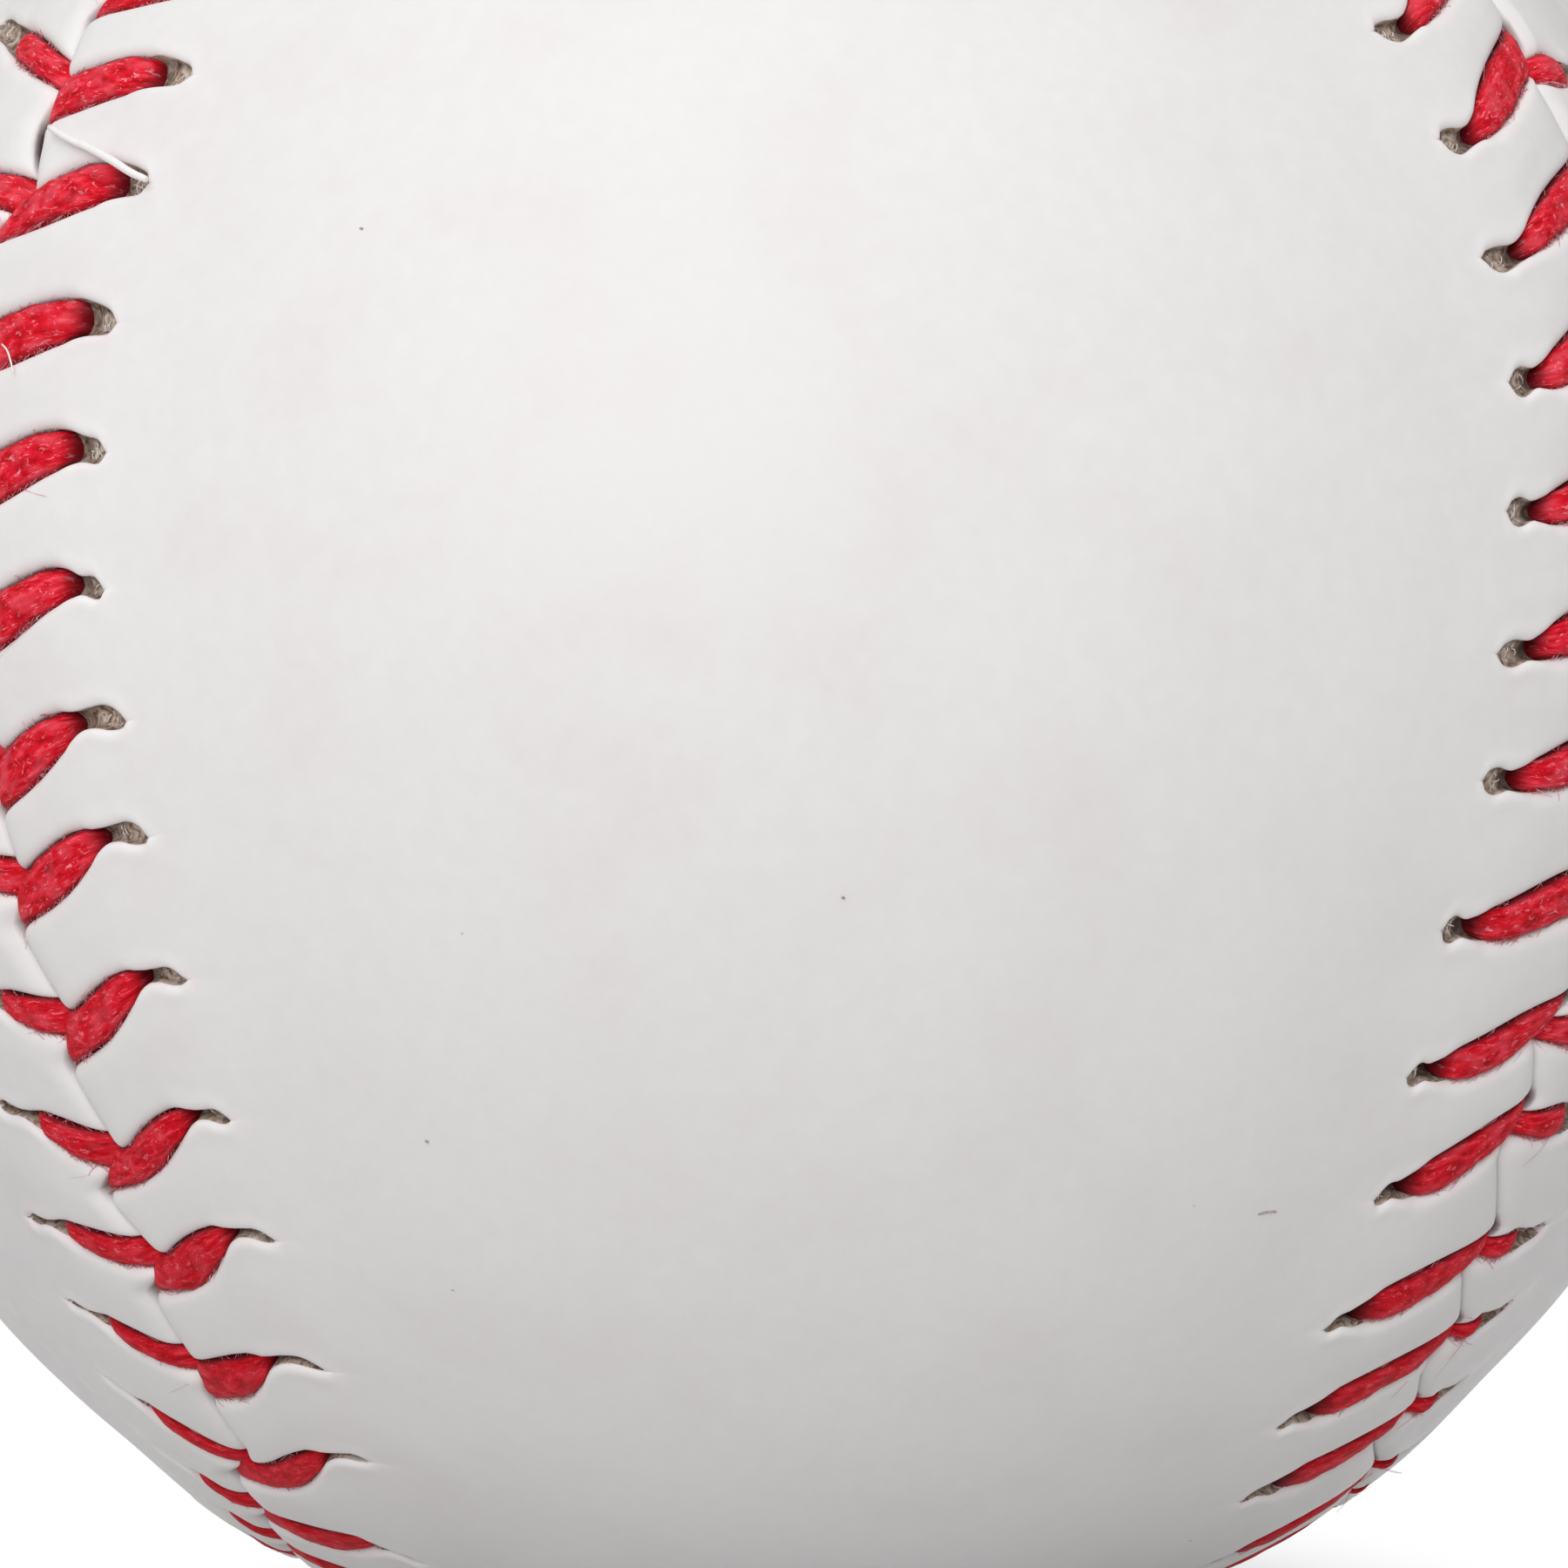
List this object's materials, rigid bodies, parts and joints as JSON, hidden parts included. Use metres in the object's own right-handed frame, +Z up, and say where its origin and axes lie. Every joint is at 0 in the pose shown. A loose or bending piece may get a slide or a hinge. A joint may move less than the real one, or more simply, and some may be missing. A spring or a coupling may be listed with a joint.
{
  "type": "baseball",
  "caption": "Baseball with a stitched two-piece leather cover over wool windings and a cork and rubber core.",
  "frame": {"origin": "centre of the ball", "axes": "+Z up through the middle of panel B's waist; panel A's waist is underneath, and its two wide lobes face -Y (the pictured side) and +Y"},
  "size_m": [0.074, 0.074, 0.0738],
  "materials": {
    "cork": "matte",
    "black_rubber": "matte",
    "red_rubber": "matte",
    "gasket_rubber": "matte",
    "grey_wool": "matte",
    "white_wool": "matte",
    "cotton_yarn": "matte",
    "cement": "satin",
    "cover_leather": "satin",
    "red_thread": "matte"
  },
  "bodies": {
    "root": {"cork_core": "cork", "black_shell_upper": "black_rubber", "black_shell_lower": "black_rubber", "black_shell_gasket": "gasket_rubber", "red_shell_upper": "red_rubber", "red_shell_lower": "red_rubber", "red_shell_gasket": "gasket_rubber", "grey_four_ply_winding": "grey_wool", "white_three_ply_winding": "white_wool", "grey_three_ply_winding": "grey_wool", "finishing_winding": "cotton_yarn", "cement_coat": "cement", "cover_panel_a": "cover_leather", "cover_panel_b": "cover_leather", "stitches_a": "red_thread", "stitches_b": "red_thread"}
  },
  "joints": []
}
